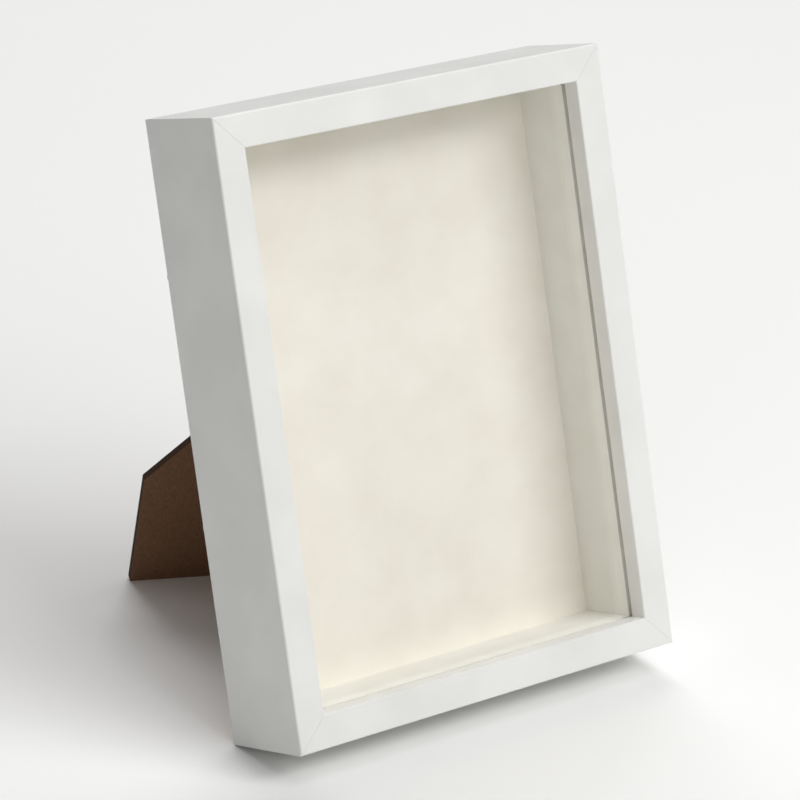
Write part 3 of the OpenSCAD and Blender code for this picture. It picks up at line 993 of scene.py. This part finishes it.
def make_nails_and_screws():
    """The V-nails, just under the rear face, and the turn buttons' screws."""
    nail = plate(v_nail_section(), NAIL_DEPTH - NAIL_SINK, NAIL_EASE, floor=BOX_D - NAIL_DEPTH)
    nails = []
    for turn, place in zip((0, 90, 180, 270), corner_places()):
        x, _, z = place.to_translation()
        nails.append((x, -z, 0, turn))
    set_nails = set_fasteners(nail, nails, "nail")
    piece("corner_v_nails", set_nails, FLAT, "box", ["nail"])

    screws = [(x, -z, HEAD_FLOOR, 0) for x, z, _ in BUTTONS.values()]
    set_screws = set_fasteners(pan_screw(), screws, "screw", loose_turn=45, seed=7)
    piece("turn_button_screws", set_screws, FLAT, "box", ["screw"])


def make_rivets():
    """The rivets of both hinge leaves, and one in each hanger strap."""
    fixed = [(u, -RIVET_V, PANEL_Y - HINGE.y, 0) for u in (-RIVET_U, RIVET_U)]
    turning = [(u, RIVET_V, BOARD_IN, 0) for u in (-RIVET_U, RIVET_U)]
    hung = []
    for hanger in HANGERS.values():
        x, _, z = hanger_place(hanger) @ Vector((0, STRAP_RIVET, 0))
        hung.append((x, -z, PANEL_Y, 0))
    for name, length, points, place, body in (
        ("hinge_fixed_rivets", PANEL_T + LEAF_T, fixed, hinge_place(0), "box"),
        ("hinge_strut_rivets", STRUT_T + LEAF_T, turning, hinge_place(STRUT_OPEN), "strut"),
        ("hanger_rivets", PANEL_T + STRAP_T, hung, FLAT, "box"),
    ):
        rivets = set_fasteners(domed_rivet(length), points, "rivet")
        piece(name, rivets, place, body, ["rivet"])


make_rails()
make_sheets()
make_fixed_leaf()
make_pin()
make_strut_leaf()
make_strut()
make_buttons()
make_hangers()
make_nails_and_screws()
make_rivets()


# ---------------------------------------------------------------- studio

MIDDLE = Vector((0.0, 0.0, 0.1))
SKY_STRENGTH = 0.12
FLOOR_HALF = 4.0

# Each soft box: how far it is turned from the front of the box towards its right-hand
# side and how far it is raised (degrees), its watts, and its width in metres
LAMPS = {
    "front_lamp": (0, 34, 6.7, 0.7),
    "near_right_lamp": (20, 42, 10.4, 0.7),
    "right_front_lamp": (40, 38, 12.2, 0.7),
    "left_front_lamp": (-40, 35, 4.8, 1.2),
    "high_front_lamp": (15, 65, 15, 1.6),
    "overhead_lamp": (0, 85, 6.8, 1.6),
    "rear_lamp": (150, 50, 28.4, 1.6),
}
LAMP_AWAY = 2.6

CAMERA_PLACE = (-0.8918, -1.0927, 0.6910)
CAMERA_TARGET = (-0.00565, -0.02815, 0.10709)
CAMERA_ROLL = 3.85
SENSOR_MM, LENS_MM = 36, 192


def aim(thing, place, target, roll=0.0):
    """Stands a lamp or camera at a place, looking at the target."""
    look = (Vector(target) - Vector(place)).to_track_quat("-Z", "Y").to_matrix().to_4x4()
    thing.matrix_world = Matrix.Translation(place) @ look @ turned(roll, "Z")


def soft_lamp(name, turn, height, watts, width):
    """A square soft box that shines on the middle of the box."""
    lamp = bpy.data.lights.new(name, "AREA")
    lamp.shape = "SQUARE"
    lamp.size = width
    lamp.energy = watts
    across, up = radians(turn), radians(height)
    stand = Vector((sin(across) * cos(up), -cos(across) * cos(up), sin(up))) * LAMP_AWAY
    aim(loose(lamp, name), stand + MIDDLE, MIDDLE)


def make_floor():
    """A plain pale sweep, far wider than the view."""
    finish, tree, _ = new_finish("pale_floor")
    surface(tree, Base_Color=srgb("#f8f8f7"), Roughness=0.8, Specular_IOR_Level=0.2)
    half = FLOOR_HALF
    floor = bpy.data.meshes.new("floor")
    floor.from_pydata(
        [(-half, -half, 0), (half, -half, 0), (half, half, 0), (-half, half, 0)], [], [(0, 1, 2, 3)]
    )
    floor.materials.append(finish)
    loose(floor, "floor")


def make_studio():
    """The floor, the sky, the lamps and the camera."""
    make_floor()
    world = bpy.data.worlds.new("studio")
    world.use_nodes = True
    sky = world.node_tree.nodes["Background"]
    sky.inputs["Color"].default_value = srgb(WHITE)
    sky.inputs["Strength"].default_value = SKY_STRENGTH
    bpy.context.scene.world = world
    for name, settings in LAMPS.items():
        soft_lamp(name, *settings)
    camera = bpy.data.cameras.new("camera")
    camera.sensor_width = SENSOR_MM
    camera.lens = LENS_MM
    camera.clip_end = 20
    view = loose(camera, "camera")
    aim(view, CAMERA_PLACE, CAMERA_TARGET, CAMERA_ROLL)
    bpy.context.scene.camera = view
    bpy.context.scene.view_settings.view_transform = "Standard"


make_studio()
